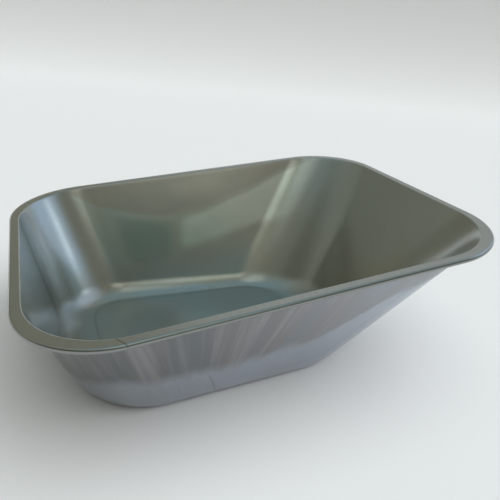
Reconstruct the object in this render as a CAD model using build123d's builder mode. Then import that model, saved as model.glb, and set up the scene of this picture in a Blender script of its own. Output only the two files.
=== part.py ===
from build123d import *
import os
from math import atan2, cos, radians, sin, tan

# Pressed-steel barrow tray. The floor lies level on z = 0, the pouring nose points to +X,
# and the rim plane rises towards the nose. Sizes are in millimetres, the tray is symmetric
# about the XZ plane, and the origin is under the middle of the tray's length.

# Sheet and wired edge
sheet = 1.2                  # thickness of the pressed sheet
bead_radius = 5.0            # outside radius of the rolled edge
curl_turn = 300.0            # degrees that the sheet is rolled round the wire
wire_clearance = 0.1         # gap all round between the wire and the rolled sheet
flange_inset = 13.0          # wall to bead centre, along the flange's top face
flange_lap = 6.0             # the flange starts this far inside the wall, until the cavity is cut
mouth_radius = 4.0           # inside radius where the wall turns out into the flange
edge_tolerance = 0.01        # how near an edge must lie to the height it is picked by

# Rim, measured along the bead's centre in the rim plane
rim_length = 890.0
rim_width = 664.0
rim_corner_rear = 149.0
rim_corner_nose = 156.0
rim_rise = 5.7               # degrees between the rim plane and the floor
rear_height = 231.5          # bead centre above the ground at the rear

# Floor, as the outline where the flat floor and the straight walls would meet with no bend
floor_setback = 84.0         # rear bead centre to the floor's rear edge, along X
floor_length = 573.0
floor_width_rear = 444.0
floor_width_nose = 368.0
floor_corner_rear = 158.0
floor_corner_nose = 151.0
bend_radius = 53.0           # outside radius from the floor up into every wall

# Worked out from the sizes above
rise = radians(rim_rise)
rear_x = -rim_length * cos(rise) / 2
floor_rear_x = rear_x + floor_setback
curl_inside = bead_radius - sheet
bead_plane = Plane(
    origin=(rear_x, 0, rear_height),
    x_dir=(cos(rise), 0, sin(rise)),
    z_dir=(-sin(rise), 0, cos(rise)),
)
mouth_rear = bead_plane.from_local_coords((flange_inset, 0, bead_radius))
mouth_nose = bead_plane.from_local_coords((rim_length - flange_inset, 0, bead_radius))


def outline(plane, rear, nose, width_rear, width_nose, corner_rear, corner_nose):
    """Face of a four-sided outline, symmetric about X, with its own corner radius at each end."""
    with BuildSketch(plane) as sketch:
        with BuildLine():
            FilletPolyline(
                (rear, -width_rear / 2),
                (nose, -width_nose / 2),
                (nose, width_nose / 2),
                (rear, width_rear / 2),
                radius=(corner_rear, corner_nose, corner_nose, corner_rear),
                close=True,
            )
        make_face()
    return sketch.sketch.face()


def tub(skin):
    """Solid tray shape, skin millimetres inside the pan's outer face."""
    side_run = rim_width / 2 - flange_inset - (floor_width_rear + floor_width_nose) / 4
    rear = atan2(mouth_rear.Z, floor_rear_x - mouth_rear.X)
    nose = atan2(mouth_nose.Z, mouth_nose.X - floor_rear_x - floor_length)
    side = atan2((mouth_rear.Z + mouth_nose.Z) / 2, side_run)
    floor_rear = skin * tan(rear / 2)
    floor_nose = skin * tan(nose / 2)
    floor_side = skin * tan(side / 2)
    mouth_in_rear = flange_inset + skin / sin(rear + rise)
    mouth_in_nose = flange_inset + skin / sin(nose - rise)
    mouth_in_side = flange_inset + skin / sin(side)
    floor = outline(
        Plane.XY.offset(skin),
        floor_rear_x + floor_rear,
        floor_rear_x + floor_length - floor_nose,
        floor_width_rear - 2 * floor_side,
        floor_width_nose - 2 * floor_side,
        floor_corner_rear - (floor_rear + floor_side) / 2,
        floor_corner_nose - (floor_nose + floor_side) / 2,
    )
    mouth = outline(
        bead_plane.offset(bead_radius),
        mouth_in_rear,
        rim_length - mouth_in_nose,
        rim_width - 2 * mouth_in_side,
        rim_width - 2 * mouth_in_side,
        rim_corner_rear - (mouth_in_rear + mouth_in_side) / 2,
        rim_corner_nose - (mouth_in_nose + mouth_in_side) / 2,
    )
    with BuildPart() as solid:
        loft([floor, mouth], ruled=True)
        fillet(faces().sort_by(Axis.Z)[0].edges(), bend_radius - skin)
    return solid.part


def wall_edges(height):
    """Edges round the top of the wall, at one height above the bead's centre."""
    nearest = (bead_radius + flange_inset) / 2
    found = ShapeList()
    for edge in edges():
        middle = edge @ 0.5
        off = bead_plane.to_local_coords(middle).Z - height
        if abs(off) < edge_tolerance and rim_path.distance_to(middle) > nearest:
            found.append(edge)
    return found


# Path of the rolled edge, and the plane across its start
rim_face = outline(
    bead_plane, 0, rim_length, rim_width, rim_width, rim_corner_rear, rim_corner_nose
)
rim_path = rim_face.outer_wire()
start = rim_path @ 0
outward = (rim_path % 0).cross(bead_plane.z_dir)
centre = bead_plane.from_local_coords((rim_length / 2, 0, 0))
if outward.dot(start - centre) < 0:
    outward = -outward
edge_plane = Plane(origin=start, x_dir=outward, z_dir=outward.cross(bead_plane.z_dir))

# Tray: one pressed sheet, with its flange rolled round the wire
with BuildPart() as tray_pan:
    add(tub(0))
    with BuildSketch(edge_plane):
        with BuildLine():
            outside = CenterArc((0, 0), bead_radius, 90, -curl_turn)
            inside = CenterArc((0, 0), curl_inside, 90, -curl_turn)
            Line(outside @ 1, inside @ 1)
            Polyline(
                outside @ 0,
                (-flange_inset - flange_lap, bead_radius),
                (-flange_inset - flange_lap, curl_inside),
                inside @ 0,
            )
        make_face()
    sweep(path=rim_path)
    fillet(wall_edges(curl_inside), mouth_radius - sheet)
    add(tub(sheet), mode=Mode.SUBTRACT)
    fillet(wall_edges(bead_radius), mouth_radius)
tray_pan.part.label = "tray_pan"

# Wire that stiffens the rolled edge
with BuildPart() as rim_wire:
    with BuildSketch(edge_plane):
        Circle(curl_inside - wire_clearance)
    sweep(path=rim_path)
rim_wire.part.label = "rim_wire"

os.makedirs("parts", exist_ok=True)
export_step(tray_pan.part, "parts/tray_pan.step")
export_step(rim_wire.part, "parts/rim_wire.step")
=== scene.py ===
import math
import bpy
import numpy as np
from mathutils import Matrix, Vector


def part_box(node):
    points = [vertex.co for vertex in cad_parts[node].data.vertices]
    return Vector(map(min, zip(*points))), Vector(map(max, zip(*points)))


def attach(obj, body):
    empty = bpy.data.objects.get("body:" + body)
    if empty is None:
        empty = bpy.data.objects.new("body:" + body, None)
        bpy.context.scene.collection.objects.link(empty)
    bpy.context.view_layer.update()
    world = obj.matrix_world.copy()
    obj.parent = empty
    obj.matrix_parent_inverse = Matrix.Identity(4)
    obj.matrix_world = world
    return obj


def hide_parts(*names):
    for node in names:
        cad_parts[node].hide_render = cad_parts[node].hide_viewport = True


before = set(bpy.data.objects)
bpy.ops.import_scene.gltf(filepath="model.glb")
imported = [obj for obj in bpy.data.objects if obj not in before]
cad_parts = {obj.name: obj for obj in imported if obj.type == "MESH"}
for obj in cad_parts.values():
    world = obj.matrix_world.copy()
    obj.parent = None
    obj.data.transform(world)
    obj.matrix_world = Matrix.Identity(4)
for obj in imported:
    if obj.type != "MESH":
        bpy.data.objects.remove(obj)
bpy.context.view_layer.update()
low, high = (np.array(corner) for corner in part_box("tray_pan"))
print("frame loaded")

# Pressed shape, in metres; the rim's length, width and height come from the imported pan's own box
tray = {
    "sheet": 0.0012,
    "bead": 0.005,              # outside radius of the rolled edge
    "curlTurn": 300.0,          # degrees rolled round the wire
    "rise": 5.7,                # degrees between rim and floor
    "rimCornerRear": 0.149,
    "rimCornerNose": 0.156,
    "mouthInset": 0.0143,       # inner wall to bead centre, along the flange
    "mouthCornerRear": 0.146,
    "mouthCornerNose": 0.152,
    "mouthRadius": 0.004,
    "floorSetback": 0.085,      # rear bead centre to the floor's rear edge
    "floorLength": 0.588,
    "floorWidthRear": 0.439,
    "floorWidthNose": 0.364,
    "floorCornerRear": 0.150,
    "floorCornerNose": 0.1675,
    "flatRear": 0.146,          # rear bead centre to where the floor is flat
    "flatNose": 0.612,
    "flatWidthRear": 0.366,
    "flatWidthNose": 0.340,
    "flatCornerRear": 0.066,
    "flatCornerNose": 0.085,
    # how far the bend reaches up the wall: rear, rear corner, side, nose corner, nose
    "bendReach": (0.059, 0.046, 0.037, 0.046, 0.060),
    "waveHeight": 0.00010,      # slow hollows left by the press
    "waveCount": 16,
    "waveLength": (0.07, 0.17),
    "wavePhase": 6.3,
    "waveShare": 0.25,          # of the height, for each wave
    "waveFade": (0.02, 0.05),   # below the mouth, and above the floor
    "rippleHeight": 0.00016,    # draw ripples beside the rear corners
    "rippleLength": 0.028,
    "ripplePlace": 0.300,       # share of the way from the rear's middle to the nose's
    "rippleSpan": 0.022,
    "rippleSway": 1.2,          # how far the ripples lean, in radians
    "rippleSwayDepth": 0.06,
    "rippleDepth": (0, 0.03, 0.09, 0.18),   # metres below the mouth: starts, full, starts to fade, gone
    "floorCrown": 0.0004,
    "seed": 11,
    # where the drawn band ends outside, and where the painted reflection ends inside:
    # share of the way from the rear's middle to the nose's, and metres below the mouth
    "pressLine": ((0, 0.165), (0.197, 0.168), (0.25, 0.150), (0.29, 0.158), (0.389, 0.172), (0.467, 0.175),
                  (0.55, 0.184), (0.608, 0.191), (0.64, 0.160), (0.685, 0.098), (0.8, 0.060), (1, 0.060)),
    "reflectionLine": ((0.24, -0.02), (0.306, 0.051), (0.364, 0.078), (0.428, 0.097), (0.524, 0.098),
                  (0.634, 0.066), (0.711, 0.018), (0.76, -0.02)),
    # painted reflection patches below the inner line, one lighter and one darker: share of the way where they
    # start, are full, start to fade and are gone,
    # and metres below the mouth where they start to fade and are gone
    "reflectionPatchBright": (0.45, 0.51, 0.71, 0.78, 0.17, 0.22),
    "reflectionPatchDark": (0.30, 0.36, 0.42, 0.49, 0.17, 0.24),
    "patchEdge": 0.03,
    "scratch": ((0.353, 0.191), (0.397, 0.275)),        # metres round the mouth and below it, outside
    "rimJoint": ((0.1275, -0.3105), (0.1445, -0.338)),  # along and across the rim
}
# Points along each part of the outline, and rows across each part of the section
grid = {
    "corner": 56,
    "side": 64,
    "end": 34,
    "floor": 9,
    "bend": 22,
    "wall": 40,
    "mouth": 6,
    "flange": 3,
    "curl": 22,
}


def smooth(t):
    # smoothstep: 3 t^2 - 2 t^3, held at 0 and 1 outside
    t = np.clip(t, 0, 1)
    return t * t * (3 - 2 * t)


def rising(value, start, full):
    # smoothstep that is 0 at start and 1 at full
    return smooth((value - start) / (full - start))


def unit(v):
    # v / |v|, along the last axis
    return v / np.linalg.norm(v, axis=-1, keepdims=True)


def roundedOutline(rear, nose, widthRear, widthNose, cornerRear, cornerNose):
    # closed outline that starts at the rear's near corner: each arc is centre + r (cos a, sin a),
    # with its centre at vertex + bisector r / sin(half angle), and straight lines join the arcs
    corners = np.array([(rear, -widthRear / 2), (nose, -widthNose / 2),
                        (nose, widthNose / 2), (rear, widthRear / 2)])
    radii = (cornerRear, cornerNose, cornerNose, cornerRear)
    arcs = []
    for k in range(4):
        back = unit(corners[k - 1] - corners[k])
        ahead = unit(corners[(k + 1) % 4] - corners[k])
        half = math.acos(float(back @ ahead)) / 2
        centre = corners[k] + unit(back + ahead) * radii[k] / math.sin(half)
        first = corners[k] + back * radii[k] / math.tan(half) - centre
        last = corners[k] + ahead * radii[k] / math.tan(half) - centre
        start = math.atan2(first[1], first[0])
        turn = (math.atan2(last[1], last[0]) - start + math.pi) % (2 * math.pi) - math.pi
        angle = start + turn * np.linspace(0, 1, grid["corner"] + 1)
        arcs.append(centre + radii[k] * np.stack([np.cos(angle), np.sin(angle)], 1))
    points = []
    for k, count in enumerate((grid["side"], grid["end"], grid["side"], grid["end"])):
        along = np.linspace(0, 1, count + 1)[1:-1, None]
        points += [arcs[k], arcs[k][-1] * (1 - along) + arcs[(k + 1) % 4][0] * along]
    return np.concatenate(points)


def aroundValues(rear, rearTurn, side, noseTurn, nose):
    # one number for each outline point: constant on the straights, and in a corner
    # first + (turn - first) smoothstep(2 t) + (last - turn) smoothstep(2 t - 1)
    t = np.linspace(0, 1, grid["corner"] + 1)
    up, on = smooth(t * 2), smooth(t * 2 - 1)
    ease = lambda first, turn, last: first + (turn - first) * up + (last - turn) * on
    straight = (np.full(grid["side"] - 1, side), np.full(grid["end"] - 1, nose),
                np.full(grid["side"] - 1, side), np.full(grid["end"] - 1, rear))
    turns = (ease(rear, rearTurn, side), ease(side, noseTurn, nose),
             ease(nose, noseTurn, side), ease(side, rearTurn, rear))
    return np.concatenate([part for pair in zip(turns, straight) for part in pair])


def cornerArc(corner, inward, outward, radius, count):
    # arc that rounds a corner: centre - r n cos a + r w sin a for a from 0 to the turning angle,
    # where w is the direction in and n the normal to it on the inside of the turn
    turn = np.arccos(np.clip((inward * outward).sum(-1), -1, 1))[:, None]
    centre = corner + unit(outward - inward) * radius / np.cos(turn / 2)
    begin = corner - inward * radius * np.tan(turn / 2)
    normal = unit(centre - begin)
    return [centre - normal * radius * np.cos(turn * s) + inward * radius * np.sin(turn * s)
            for s in np.linspace(0, 1, count + 1)]


def easedBend(flat, corner, wall, reach, count):
    # conic ((1-s)^2 A + 2 s (1-s) k F + s^2 B) / ((1-s)^2 + 2 s (1-s) k + s^2), from A on the flat floor
    # to B = F + reach w on the wall, where F is the corner line and k the cosine of half the turn
    end = corner + wall * reach[:, None]
    k = np.cos(np.arccos((unit(corner - flat) * wall).sum(-1, keepdims=True)) / 2)
    rows = []
    for s in np.linspace(0, 1, count + 1):
        weights = ((1 - s) ** 2, 2 * s * (1 - s) * k, s ** 2)
        rows.append((weights[0] * flat + weights[1] * corner + weights[2] * end) / sum(weights))
    return rows


def between(first, last, count):
    # rows on the straight line from first to last, without the two ends
    return [first + (last - first) * s for s in np.linspace(0, 1, count + 1)[1:-1]]


rise = math.radians(tray["rise"])
rimX = np.array([math.cos(rise), 0, math.sin(rise)])
rimY = np.array([0.0, 1, 0])
rimUp = np.array([-math.sin(rise), 0, math.cos(rise)])
rimLength = (high[0] - low[0] - 2 * tray["bead"]) / math.cos(rise)
rimWidth = high[1] - low[1] - 2 * tray["bead"]
rearBead = np.array([low[0] + tray["bead"], 0, high[2] - tray["bead"] - rimLength * math.sin(rise)])


def onRim(outline, lift):
    # outline (a, b) in the rim plane -> rearBead + a rimX + b Y + lift rimUp
    return rearBead + outline[:, :1] * rimX + outline[:, 1:] * rimY + lift * rimUp


def beadFrame():
    # centre line of the rolled edge, and the direction out of the tray at each of its points
    corners = tray["rimCornerRear"], tray["rimCornerNose"]
    bead = onRim(roundedOutline(0, rimLength, rimWidth, rimWidth, *corners), 0)
    out = unit(np.cross(np.roll(bead, -1, 0) - np.roll(bead, 1, 0), rimUp))
    return bead, out * np.sign((out * (bead - bead.mean(0))).sum(-1, keepdims=True))


def traySection():
    # rows of the upper skin, from the floor's middle out to the end of the curl:
    # floor, bend, straight wall, mouth arc, flange, and the curl, bead + r (up cos a + out sin a)
    inset = tray["mouthInset"]
    bead, out = beadFrame()
    mouth = onRim(roundedOutline(inset, rimLength - inset, rimWidth - 2 * inset, rimWidth - 2 * inset,
                                 tray["mouthCornerRear"], tray["mouthCornerNose"]), tray["bead"])
    floorRear = rearBead[0] + tray["floorSetback"]
    floorFlat = roundedOutline(floorRear, floorRear + tray["floorLength"], tray["floorWidthRear"],
                               tray["floorWidthNose"], tray["floorCornerRear"], tray["floorCornerNose"])
    floor = np.column_stack([floorFlat, np.full(len(floorFlat), tray["sheet"])])
    flatOutline = roundedOutline(rearBead[0] + tray["flatRear"], rearBead[0] + tray["flatNose"],
                                 tray["flatWidthRear"], tray["flatWidthNose"],
                                 tray["flatCornerRear"], tray["flatCornerNose"])
    flat = np.column_stack([flatOutline, np.full(len(flatOutline), tray["sheet"])])
    wall = unit(mouth - floor)
    beadTop = bead + rimUp * tray["bead"]
    flange = unit(beadTop - mouth)
    bend = easedBend(flat, floor, wall, aroundValues(*tray["bendReach"]), grid["bend"])
    mouthArc = cornerArc(mouth, wall, flange, tray["mouthRadius"], grid["mouth"])
    middle = np.array([bend[0][:, 0].mean(), 0, tray["sheet"]])
    rows = [middle + (bend[0] - middle) * s for s in np.linspace(0, 1, grid["floor"] + 1)[1:-1]]
    rows += bend
    rows += between(bend[-1], mouthArc[0], grid["wall"])
    rows += mouthArc
    rows += between(mouthArc[-1], beadTop, grid["flange"])
    turn = np.radians(tray["curlTurn"]) * np.linspace(0, 1, grid["curl"] + 1)
    rows += [bead + tray["bead"] * (rimUp * np.cos(a) + out * np.sin(a)) for a in turn]
    return middle, np.stack(rows), mouth


def skinNormals(points):
    # unit cross product of the difference round the outline and the difference across the rows
    around = np.roll(points, -1, 1) - np.roll(points, 1, 1)
    across = np.gradient(points, axis=0)
    return unit(np.cross(around, across))


def placed(name, data):
    # object of the data, linked into the scene
    thing = bpy.data.objects.new(name, data)
    bpy.context.scene.collection.objects.link(thing)
    return thing


def makePiece(name, verts, faces):
    # smooth-shaded mesh in the scene
    mesh = bpy.data.meshes.new(name)
    mesh.from_pydata(verts.tolist(), [], faces)
    mesh.polygons.foreach_set("use_smooth", np.ones(len(mesh.polygons), bool))
    return placed(name, mesh)


def enclosed(verts, quads):
    # six times the volume inside: the sum of a . (b x c) + a . (c x d), positive when the faces turn outwards
    a, b, c, d = (verts[quads[:, k]] for k in range(4))
    return (a * np.cross(b, c)).sum() + (a * np.cross(c, d)).sum()


def closedSkin(name, rings, poleIn, poleOut):
    # closed mesh from rings[row, column], with one point closing each end
    rowCount, columnCount = rings.shape[:2]
    verts = np.concatenate([rings.reshape(-1, 3), [poleIn], [poleOut]])
    cell = np.arange(rowCount * columnCount).reshape(rowCount, columnCount)
    nextColumn = np.roll(cell, -1, 1)
    quads = np.stack([cell[:-1], nextColumn[:-1], nextColumn[1:], cell[1:]], -1).reshape(-1, 4)
    fanIn = np.stack([nextColumn[0], cell[0], np.full(columnCount, len(verts) - 2)], -1)
    fanOut = np.stack([cell[-1], nextColumn[-1], np.full(columnCount, len(verts) - 1)], -1)
    volume = enclosed(verts, quads)
    volume += sum((verts[f[:, 0]] * np.cross(verts[f[:, 1]], verts[f[:, 2]])).sum() for f in (fanIn, fanOut))
    if volume < 0:
        quads, fanIn, fanOut = quads[:, ::-1], fanIn[:, ::-1], fanOut[:, ::-1]
    return makePiece(name, verts, quads.tolist() + fanIn.tolist() + fanOut.tolist())


def storeVector(piece, name, inside, outside, poles):
    # one vector for each vertex, under a name that the finish reads:
    # the upper rows, the lower rows back again, and the two poles
    values = np.concatenate([inside.reshape(-1, 3), outside[::-1].reshape(-1, 3), poles])
    layer = piece.data.attributes.new(name, "FLOAT_VECTOR", "POINT")
    layer.data.foreach_set("vector", values.astype(np.float32).ravel())


middle, upper, mouthLine = traySection()
floorRow = grid["floor"] - 1
mouthRow = floorRow + grid["bend"] + grid["wall"]
beadRow = mouthRow + grid["mouth"] + grid["flange"]
stretch = np.linalg.norm(np.diff(upper, axis=0), axis=-1)
section = np.concatenate([np.zeros((1, upper.shape[1])), np.cumsum(stretch, 0)])
stepRound = np.linalg.norm(np.roll(mouthLine, -1, 0) - mouthLine, axis=1)
perimeter = stepRound.sum()
theta = 2 * math.pi * np.concatenate([[0], np.cumsum(stepRound)[:-1]]) / perimeter
fromMouth = section[mouthRow] - section             # metres of sheet below the mouth, down the wall
fromFloor = section - section[floorRow]
pastBead = section - section[beadRow]               # metres round the curl from the bead's top
halfRear = rimWidth / 2 - tray["mouthInset"] - tray["mouthCornerRear"]      # of the straight across the rear
run = theta * perimeter / (2 * math.pi)             # metres round the mouth, from the rear's near corner
# share of the way from the rear's middle to the nose's, the same on both sides
halfway = np.abs((run + halfRear + perimeter / 2) % perimeter - perimeter / 2) / (perimeter / 2)

# Slow hollows: height times the sum of share sin(p . d + phase), faded out at the mouth and the floor
rng = np.random.default_rng(tray["seed"])
waves = np.zeros(upper.shape[:2])
for k in range(tray["waveCount"]):
    direction = unit(rng.normal(size=3)) * 2 * math.pi / rng.uniform(*tray["waveLength"])
    waves += np.sin(upper @ direction + rng.uniform(0, tray["wavePhase"])) * tray["waveShare"]
fadeMouth, fadeFloor = tray["waveFade"]
lift = tray["waveHeight"] * waves * (smooth(fromMouth / fadeMouth) * smooth(fromFloor / fadeFloor))

# Draw ripples: sin(2 pi run / length + sway sin(depth / sway depth)), inside a bell on each rear corner
lean = tray["rippleSway"] * np.sin(fromMouth / tray["rippleSwayDepth"])
ripples = np.sin(2 * math.pi * halfway * perimeter / 2 / tray["rippleLength"] + lean)
ripples *= np.exp(-((halfway - tray["ripplePlace"]) / tray["rippleSpan"]) ** 2)
starts, full, fades, gone = tray["rippleDepth"]
ripples = ripples * rising(fromMouth, starts, full) * (1 - rising(fromMouth, fades, gone))
lift += tray["rippleHeight"] * ripples
lift[:floorRow] += tray["floorCrown"] * smooth(1 - section[:floorRow] / section[floorRow])

normals = skinNormals(upper)
normals[:grid["floor"]] = (0, 0, 1)
if normals[grid["floor"] + grid["bend"] // 2, 0, 2] < 0:
    normals[grid["floor"]:] *= -1
shaped = upper + normals * lift[..., None]
lower = shaped - normals * tray["sheet"]
poleIn = middle + (0, 0, tray["floorCrown"])
poleOut = poleIn - (0, 0, tray["sheet"])
traySkin = closedSkin("traySkin", np.concatenate([shaped, lower[::-1]]), poleIn, poleOut)

# ring: perimeter / 2 pi (cos theta, sin theta), and metres below the mouth
radius = perimeter / (2 * math.pi)
ring = np.stack(np.broadcast_arrays(radius * np.cos(theta), radius * np.sin(theta), fromMouth), -1)
storeVector(traySkin, "ring", ring, ring, [ring[0].mean(0)] * 2)
# press: 1 outside, metres above the line (the press line outside, the edge of the painted reflection inside),
# metres up from the floor
aboveOuter = np.interp(halfway, *zip(*tray["pressLine"])) - fromMouth
aboveInner = np.interp(halfway, *zip(*tray["reflectionLine"])) - fromMouth
press = np.stack([np.zeros_like(fromFloor), aboveInner, fromFloor], -1)
pressOut = np.stack([np.ones_like(fromFloor), aboveOuter, fromFloor], -1)
farBelow = -0.3     # the floor's middle is far from the line and from the bend
storeVector(traySkin, "press", press, pressOut, [(0, farBelow, farBelow), (1, farBelow, farBelow)])


def patchShare(starts, full, fades, gone, shallow, deep):
    # smoothstep up and down along the wall, times smoothstep down the wall
    along = rising(halfway, starts, full) * (1 - rising(halfway, fades, gone))
    return along * (1 - rising(fromMouth, shallow, deep))


# edge: metres round the mouth, metres past the bead's top, and the lighter painted reflection patch less the
# darker one
patch = patchShare(*tray["reflectionPatchBright"]) - patchShare(*tray["reflectionPatchDark"])
patch = patch * smooth(-aboveInner / tray["patchEdge"])
edge = np.stack([np.broadcast_to(run, fromMouth.shape), pastBead, patch], -1)
notBead = -0.1      # the outside and the floor's middle have no bead
anyPlace = 0.1
edgeOut = np.stack([edge[..., 0], np.full_like(pastBead, notBead), np.zeros_like(patch)], -1)
storeVector(traySkin, "edge", edge, edgeOut, [(anyPlace, notBead, 0)] * 2)
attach(traySkin, "root")
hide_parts("tray_pan")
print("tray skin", len(traySkin.data.vertices), "points")


class Number:
    # one number inside a finish: + - * / and ** on it add Math nodes
    def __init__(self, finish, socket):
        self.finish, self.socket = finish, socket

    def math(self, operation, first, second=None):
        return self.finish.node("ShaderNodeMath", {"operation": operation}, _0=first, _1=second)

    def __add__(self, other):
        return self.math("ADD", self, other)

    def __radd__(self, other):
        return self.math("ADD", other, self)

    def __sub__(self, other):
        return self.math("SUBTRACT", self, other)

    def __rsub__(self, other):
        return self.math("SUBTRACT", other, self)

    def __mul__(self, other):
        return self.math("MULTIPLY", self, other)

    def __rmul__(self, other):
        return self.math("MULTIPLY", other, self)

    def __truediv__(self, other):
        return self.math("DIVIDE", self, other)

    def __rtruediv__(self, other):
        return self.math("DIVIDE", other, self)

    def __pow__(self, other):
        return self.math("POWER", self, other)


class Finish:
    # one node tree, for a material or the room, whose nodes all come from node()
    def __init__(self, owner):
        owner.use_nodes = True
        self.owner, self.tree = owner, owner.node_tree

    def node(self, kind, settings=None, output=0, **inputs):
        made = self.tree.nodes.new(kind)
        for name, value in (settings or {}).items():
            setattr(made, name, value)
        for name, value in inputs.items():
            if value is not None:
                self.plug(made.inputs[int(name[1:]) if name[1:].isdigit() else name], value)
        return Number(self, made.outputs[output])

    def plug(self, socket, value):
        if isinstance(value, Number):
            self.tree.links.new(value.socket, socket)
        else:
            socket.default_value = value

    def surface(self, shader, **inputs):
        for name, value in inputs.items():
            self.plug(self.tree.nodes[shader].inputs[name.replace("_", " ")], value)

    def attribute(self, name):
        # vector stored for each vertex
        return self.node("ShaderNodeAttribute", {"attribute_name": name}, output="Vector")

    def parts(self, vector):
        # x, y and z of the vector
        return [self.node("ShaderNodeSeparateXYZ", output=k, _0=vector) for k in range(3)]

    def mix(self, share, first, second):
        # colour: first (1 - share) + second share
        return self.node("ShaderNodeMix", {"data_type": "RGBA"}, output="Result",
                         _0=share, _6=first, _7=second)

    def ramp(self, value, start, end):
        # smoothstep of the value, 0 at start and 1 at end
        return self.node("ShaderNodeMapRange", {"interpolation_type": "SMOOTHSTEP"}, Value=value,
                         **{"From Min": start, "From Max": end})

    def near(self, value, start, end, share):
        # share times 1 - smoothstep: the whole share below start, none above end
        return (1 - self.ramp(value, start, end)) * share

    def band(self, value, starts, full, fades, gone):
        # smoothstep up, then smoothstep down
        return self.ramp(value, starts, full) * (1 - self.ramp(value, fades, gone))

    def stretched(self, vector, scale):
        # vector with each part multiplied
        return self.node("ShaderNodeVectorMath", {"operation": "MULTIPLY"}, _0=vector, _1=scale)

    def fromLine(self, across, down, first, last):
        # distance from p = (across, down) to the segment first + t d:
        # |p - first - t d|, with t = (p - first).d / d.d held to 0..1
        run, drop = last[0] - first[0], last[1] - first[1]
        share = ((across - first[0]) * run + (down - first[1]) * drop) / (run * run + drop * drop)
        t = self.node("ShaderNodeClamp", Value=share)
        return ((across - first[0] - t * run) ** 2 + (down - first[1] - t * drop) ** 2) ** 0.5

    def noise(self, vector, scale, detail):
        # fractal noise about 0.5
        return self.node("ShaderNodeTexNoise", output="Fac", Vector=vector, Scale=scale, Detail=detail)


sheetFinish = {
    "insideCool": (0.53, 0.59, 0.60, 1),
    "insideWarm": (0.55, 0.55, 0.51, 1),
    # painted reflection colours for the lighter and darker patches below the inner line
    "insideReflectionBright": (0.80, 0.86, 0.82, 1),
    "insideReflectionDark": (0.38, 0.45, 0.43, 1),
    "insideReflection": (0.50, 0.48, 0.45, 1),       # painted reflection above the inner line, the brownish reflection of the far rim shown as colour
    "outsideSmooth": (0.46, 0.495, 0.56, 1),
    "outsideDrawn": (0.38, 0.36, 0.365, 1),
    "outsideCool": (0.34, 0.375, 0.42, 1),
    "outsideRearShade": (0.15, 0.155, 0.155, 1),     # painted shade, darker towards the rear
    "flange": (0.60, 0.62, 0.60, 1),
    "streakDark": (0.29, 0.29, 0.295, 1),
    # lighter streaks, and the painted highlight along the bead's top
    "streakLightAndGlint": (0.52, 0.52, 0.54, 1),
    "markAndCreaseShade": (0.20, 0.20, 0.19, 1),              # painted shade along the floor's crease, and the scratch and rim joint
    "rimShade": (0.22, 0.23, 0.22, 1),          # painted shade on the lower half of the bead, for the dark reflection under the rim
    # repeats in a metre: for the three parts of ring, or the same all ways
    "hairScale": (161.2, 161.2, 6.0),
    "fineScale": (62.0, 62.0, 3.0),
    "broadScale": (12.4, 12.4, 2.0),
    "cloudScale": 9.0,
    "wideScale": 3.5,
    "crystalScale": 160.0,
    "speckScale": 900.0,
    # metres above the press line where the drawn sheet starts and is full, above the inner line where the
    # painted reflection starts and is full, and how far the streaks shift them
    "drawnOut": (-0.024, 0.022),
    "reflectionIn": (-0.006, 0.008),
    "fineShift": 0.010,
    "broadShift": 0.05,
    "broadShiftInside": 0.012,
    # smoothstep limits of a pattern, and of metres below the mouth
    "warmLimits": (0.35, 0.65),
    "drawnLimits": (0.38, 0.62),
    "flangeLimits": (-0.004, 0.002),
    "patchShare": 0.8,
    # weights of two patterns, smoothstep limits of their sum, share of the colour
    "darkStreak": (0.6, 0.6, 0.48, 0.78, 0.75),
    "lightStreak": (0.8, 0.25, 0.46, 0.76, 0.5),
    "lightPatches": (0.34, 0.60),
    "lightAlong": (-0.5, 0.0),                  # metres along the tray
    # metres along the tray where the painted shade at the rear starts to fade and is gone, share of the
    # colour
    "rearShadeDrawn": (-0.36, 0.20, 0.85),
    "rearShadeSmooth": (-0.40, -0.05, 0.35),
    # how much each pattern darkens the sheet, with what the outside adds
    "mottle": 0.08,
    "crystalMottle": 0.08,
    "cloudMottle": 0.2,
    "cloudOutside": 0.25,
    "hairMottle": 0.08,
    "hairOutside": 0.3,
    "fineOutside": 0.35,
    # metres from each line where it starts to fade and is gone, share of the colour
    "creaseShadeLine": (0.0, 0.006, 0.25),
    "creaseBelow": 0.002,
    "scratchLine": (0.0004, 0.0018, 0.75),
    "jointLine": (0.0003, 0.0014, 0.7),
    # metres past the bead's top: starts, full, starts to fade, gone
    "shadeBand": (0.0030, 0.0046, 0.0115, 0.0140),
    "shadeShare": 0.85,
    "glintBand": (-0.0005, 0.0015, 0.0022, 0.0036),
    "glintShare": 0.7,
    "metal": 0.95,
    "roughness": 0.22,
    "drawnRoughness": 0.10,
    "hairRoughness": 0.06,
    "cloudRoughness": 0.08,
    "glintRoughness": 0.08,
    "grain": 0.00003,
    "grainStrength": 0.25,
    "streakRelief": 0.4,
    "speckRelief": 0.4,
    "crystalRelief": 0.15,
    "jointRelief": 2,
}


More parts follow.
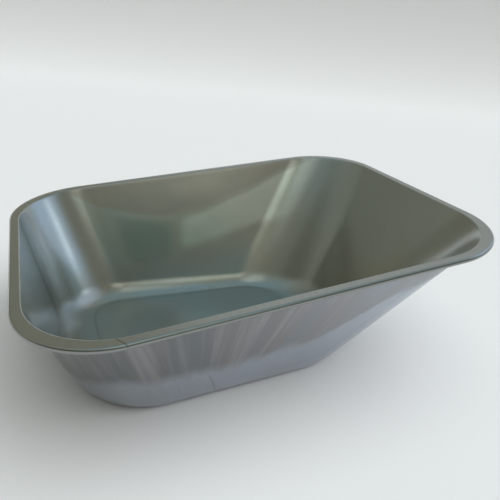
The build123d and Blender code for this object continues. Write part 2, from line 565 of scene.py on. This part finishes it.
def zincSheet():
    look = sheetFinish
    finish = Finish(bpy.data.materials.new("zincSheet"))
    ring = finish.attribute("ring")
    belowMouth = finish.parts(ring)[2]
    outside, aboveLine, aboveFloor = finish.parts(finish.attribute("press"))
    run, pastBead, patch = finish.parts(finish.attribute("edge"))
    place = finish.node("ShaderNodeTexCoord", output="Object")
    alongTray, acrossTray, upTray = finish.parts(place)
    alongRim = (alongTray - float(rearBead[0])) * math.cos(rise)
    alongRim = alongRim + (upTray - float(rearBead[2])) * math.sin(rise)

    # Streaks down the wall, clouds, crystals and specks, all about 0.5
    hair = finish.noise(finish.stretched(ring, look["hairScale"]), 1.0, detail=2.0)
    fine = finish.noise(finish.stretched(ring, look["fineScale"]), 1.0, detail=2.0)
    broad = finish.noise(finish.stretched(ring, look["broadScale"]), 1.0, detail=3.0)
    cloud = finish.noise(place, look["cloudScale"], detail=4.0)
    wide = finish.noise(place, look["wideScale"], detail=2.0)
    crystals = finish.node("ShaderNodeTexVoronoi", {"feature": "F1"}, output="Color",
                           Vector=place, Scale=look["crystalScale"])
    crystal = finish.parts(crystals)[0]
    speck = finish.noise(place, look["speckScale"], detail=2.0)

    # Drawn sheet lies outside above a line whose edge the streaks make ragged; inside, a painted reflection
    # lies above the inner line
    ragged = aboveLine + (fine - 0.5) * look["fineShift"] + (broad - 0.5) * look["broadShift"]
    drawnOut = finish.ramp(ragged, *look["drawnOut"]) * outside
    uneven = aboveLine + (broad - 0.5) * look["broadShiftInside"]
    reflectionIn = finish.ramp(uneven, *look["reflectionIn"]) * (1 - outside)

    def streak(first, second, firstWeight, secondWeight, start, end, share):
        # share times smoothstep of the weighted sum
        return finish.ramp(first * firstWeight + second * secondWeight, start, end) * share

    darkStreak = streak(fine, broad, *look["darkStreak"])
    lightStreak = streak(fine, hair, *look["lightStreak"]) * finish.ramp(broad, *look["lightPatches"])
    lightStreak = lightStreak * finish.ramp(alongTray, *look["lightAlong"])

    inner = finish.mix(finish.ramp(wide, *look["warmLimits"]), look["insideCool"], look["insideWarm"])
    # painted reflection: the inside wall above the inner line takes the reflection's colour
    inner = finish.mix(reflectionIn, inner, look["insideReflection"])
    # painted reflections: lighter and darker patches below the inner line
    inner = finish.mix(finish.ramp(patch, 0.0, 1.0) * look["patchShare"], inner, look["insideReflectionBright"])
    inner = finish.mix(finish.ramp(-1 * patch, 0.0, 1.0) * look["patchShare"], inner, look["insideReflectionDark"])
    inner = finish.mix(1 - finish.ramp(belowMouth, *look["flangeLimits"]), inner, look["flange"])

    warmShare = finish.ramp(broad, *look["drawnLimits"])
    drawnColour = finish.mix(warmShare, look["outsideCool"], look["outsideDrawn"])
    # painted shade: the drawn outside grows darker towards the rear
    drawnColour = finish.mix(finish.near(alongTray, *look["rearShadeDrawn"]), drawnColour, look["outsideRearShade"])
    drawnColour = finish.mix(darkStreak, drawnColour, look["streakDark"])
    drawnColour = finish.mix(lightStreak, drawnColour, look["streakLightAndGlint"])
    # painted shade: the smooth outside grows darker towards the rear
    rearShadeShare = finish.near(alongTray, *look["rearShadeSmooth"])
    smoothColour = finish.mix(rearShadeShare, look["outsideSmooth"], look["outsideRearShade"])
    outer = finish.mix(drawnOut, smoothColour, drawnColour)

    colour = finish.mix(outside, inner, outer)
    mottle = (crystal - 0.5) * look["crystalMottle"]
    mottle = mottle + (cloud - 0.5) * (look["cloudMottle"] + outside * look["cloudOutside"])
    mottle = mottle + (hair - 0.5) * (look["hairMottle"] + outside * look["hairOutside"])
    mottle = mottle + (fine - 0.5) * outside * look["fineOutside"] + look["mottle"]
    colour = finish.mix(mottle, colour, look["streakDark"])

    # Painted shade along the crease round the floor inside, scratch outside, and the joint in the rim
    fromCrease = finish.node("ShaderNodeMath", {"operation": "ABSOLUTE"}, _0=aboveFloor + look["creaseBelow"])
    fromScratch = finish.fromLine(run, belowMouth, *tray["scratch"]) + 1 - outside
    fromJoint = finish.fromLine(alongRim, acrossTray, *tray["rimJoint"]) + outside
    creaseShadeLine = finish.near(fromCrease, *look["creaseShadeLine"]) * (1 - outside)
    scratchLine = finish.near(fromScratch, *look["scratchLine"])
    jointLine = finish.near(fromJoint, *look["jointLine"])
    # painted shade: the bead's lower half is darkened
    rimShade = finish.band(pastBead, *look["shadeBand"]) * look["shadeShare"]
    # painted highlight: a lighter, glossier line along the bead's top
    rimGlint = finish.band(pastBead, *look["glintBand"])
    colour = finish.mix(rimGlint * look["glintShare"], colour, look["streakLightAndGlint"])
    colour = finish.mix(rimShade, colour, look["rimShade"])
    colour = finish.mix(creaseShadeLine + scratchLine + jointLine, colour, look["markAndCreaseShade"])

    rough = look["roughness"] + drawnOut * look["drawnRoughness"]
    rough = rough + (hair - 0.5) * look["hairRoughness"] + (cloud - 0.5) * look["cloudRoughness"]
    relief = hair * look["streakRelief"] + fine * look["streakRelief"] + crystal * look["crystalRelief"]
    relief = relief + speck * look["speckRelief"] - scratchLine - jointLine * look["jointRelief"]
    bump = finish.node("ShaderNodeBump", output="Normal", Strength=look["grainStrength"],
                       Distance=look["grain"], Height=relief)
    finish.surface("Principled BSDF", Base_Color=colour, Metallic=look["metal"],
                   Roughness=rough - rimGlint * look["glintRoughness"], Normal=bump)
    return finish.owner


wire = {
    "radius": 0.0037,
    "around": 20,
    "dark": (0.40, 0.41, 0.41, 1),
    "light": (0.55, 0.57, 0.58, 1),
    "cloudScale": 40.0,
    "roughness": 0.35,
    "cloudRoughness": 0.2,
}


def rimWire():
    # ring in the rolled edge: bead + r (up cos a + out sin a), closed round the rim and round its own section
    bead, out = beadFrame()
    angle = np.linspace(0, 2 * math.pi, wire["around"], endpoint=False)[:, None, None]
    points = bead + wire["radius"] * (rimUp * np.cos(angle) + out * np.sin(angle))
    cell = np.arange(points.shape[0] * points.shape[1]).reshape(points.shape[:2])
    nextRow = np.roll(cell, -1, 0)
    quads = np.stack([cell, np.roll(cell, -1, 1), np.roll(nextRow, -1, 1), nextRow], -1).reshape(-1, 4)
    verts = points.reshape(-1, 3)
    if enclosed(verts, quads) < 0:
        quads = quads[:, ::-1]
    return makePiece("rimWire", verts, quads.tolist())


def zincWire():
    finish = Finish(bpy.data.materials.new("zincWire"))
    cloud = finish.noise(finish.node("ShaderNodeTexCoord", output="Object"), wire["cloudScale"], detail=4.0)
    finish.surface("Principled BSDF", Base_Color=finish.mix(cloud, wire["dark"], wire["light"]), Metallic=1.0,
                   Roughness=wire["roughness"] + cloud * wire["cloudRoughness"])
    return finish.owner


wireRing = rimWire()
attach(wireRing, "root")
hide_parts("rim_wire")
traySkin.data.materials.append(zincSheet())
wireRing.data.materials.append(zincWire())
print("finishes made")

# Pale studio: level floor with a swept-up back, far behind the tray
studio = {
    "floorColour": (0.80, 0.80, 0.80, 1),
    "floorRoughness": 0.9,
    "reach": 9.0,
    "backDistance": 4.0,
    "backRadius": 1.2,
    "backHeight": 1.7,
    "backPoints": 24,
    "lampDistance": 3,
    "camera": (-0.3933, -0.8765, 0.6519),
    "yaw": 25.619,
    "pitch": 25.023,
    "roll": 5.357,
    "lens": 35.169,
    "sensor": 36.0,
    "wallColour": (0.185, 0.185, 0.14, 1),
    "skirtingColour": (0.50, 0.51, 0.53, 1),
    "skirtingFade": (0.10, 0.21),               # sine of the height where it starts to fade and is gone
}
# Soft panels on the room's walls, each over the ones before: compass angle from +Y towards +X, height angle,
# angle from its middle that is full, angle where it is gone, colour
room = {
    "sideHigh": (-80, 66, 14, 34, (0.27, 0.29, 0.245)),
    "dimSide": (-98, 34, 6, 26, (0.12, 0.12, 0.085)),
    "sideLow": (-52, 36, 4, 18, (0.24, 0.24, 0.19)),
    "ceiling": (110, 84, 18, 42, (0.205, 0.30, 0.32)),
    "behind": (176, 42, 6, 24, (0.29, 0.31, 0.25)),
    "behindHigh": (-166, 61, 8, 20, (0.50, 0.55, 0.50)),
    "behindLow": (172, 15, 4, 12, (0.09, 0.16, 0.13)),
    "behindRight": (164, 35, 4, 12, (0.62, 0.66, 0.57)),
    "farSide": (38, 30, 14, 34, (0.36, 0.38, 0.37)),
    "window": (94, 24, 12, 36, (0.50, 0.62, 0.76)),
    "pane": (107, 23, 2, 7, (1.2, 1.4, 1.55)),
}


def sweptFloor():
    # strip: level to the back distance, a quarter circle of the back radius, then straight up
    yaw = math.radians(studio["yaw"])
    forward = np.array([math.sin(yaw), math.cos(yaw), 0])
    side = np.array([math.cos(yaw), -math.sin(yaw), 0])
    turn = np.linspace(0, math.pi / 2, studio["backPoints"])
    run = np.concatenate([[-studio["reach"]], studio["backDistance"] + studio["backRadius"] * np.sin(turn),
                          [studio["backDistance"] + studio["backRadius"]]])
    up = np.concatenate([[0], studio["backRadius"] * (1 - np.cos(turn)), [studio["backHeight"]]])
    across = np.linspace(-studio["reach"], studio["reach"], 3)
    points = run[:, None, None] * forward + across[None, :, None] * side
    points = points + up[:, None, None] * np.array([0, 0, 1.0])
    cell = np.arange(points.shape[0] * points.shape[1]).reshape(points.shape[:2])
    quads = np.stack([cell[:-1, :-1], cell[:-1, 1:], cell[1:, 1:], cell[1:, :-1]], -1).reshape(-1, 4)
    return makePiece("studioFloor", points.reshape(-1, 3), quads.tolist())


def towards(compass, height):
    # unit vector (sin c cos h, cos c cos h, sin h)
    c, h = math.radians(compass), math.radians(height)
    return (math.sin(c) * math.cos(h), math.cos(c) * math.cos(h), math.sin(h))


studioFloor = sweptFloor()
paper = Finish(bpy.data.materials.new("palePaper"))
paper.surface("Principled BSDF", Base_Color=studio["floorColour"], Roughness=studio["floorRoughness"])
studioFloor.data.materials.append(paper.owner)

world = bpy.data.worlds.new("studioRoom")
bpy.context.scene.world = world
air = Finish(world)
direction = air.node("ShaderNodeTexCoord", output="Generated")
roomColour = studio["wallColour"]
for compass, height, full, none, colour in room.values():
    along = air.node("ShaderNodeVectorMath", {"operation": "DOT_PRODUCT"}, output="Value",
                     _0=direction, _1=towards(compass, height))
    inPanel = air.ramp(along, math.cos(math.radians(none)), math.cos(math.radians(full)))
    roomColour = air.mix(inPanel, roomColour, (*colour, 1))
skyward = air.parts(direction)[2]
roomColour = air.mix(air.ramp(skyward, *studio["skirtingFade"]), studio["skirtingColour"], roomColour)
air.surface("Background", Color=roomColour)

# Soft lamps, broad enough for an even floor: compass and height angles, strength, spread in degrees, colour
lamps = {
    "right": (112, 48, 1.1, 60, (0.98, 0.985, 1.0)),
    "top": (150, 74, 1.5, 80, (0.98, 0.985, 1.0)),
}
for name, (compass, height, strength, spread, colour) in lamps.items():
    data = bpy.data.lights.new(name, "SUN")
    data.energy, data.angle, data.color = strength, math.radians(spread), colour
    lamp = placed(name, data)
    place = Vector(towards(compass, height))
    lamp.location = place * studio["lampDistance"]
    lamp.visible_glossy = False     # it lights the floor softly and leaves no hot spot in the metal
    lamp.rotation_euler = (-place).to_track_quat("-Z", "Y").to_euler()
bpy.context.scene.view_settings.view_transform = "Standard"

cameraData = bpy.data.cameras.new("view")
cameraData.lens, cameraData.sensor_width = studio["lens"], studio["sensor"]
camera = placed("view", cameraData)
camera.matrix_world = (Matrix.Translation(studio["camera"])
                       @ Matrix.Rotation(-math.radians(studio["yaw"]), 4, "Z")
                       @ Matrix.Rotation(math.radians(90 - studio["pitch"]), 4, "X")
                       @ Matrix.Rotation(math.radians(studio["roll"]), 4, "Z"))
bpy.context.scene.camera = camera
print("studio ready")
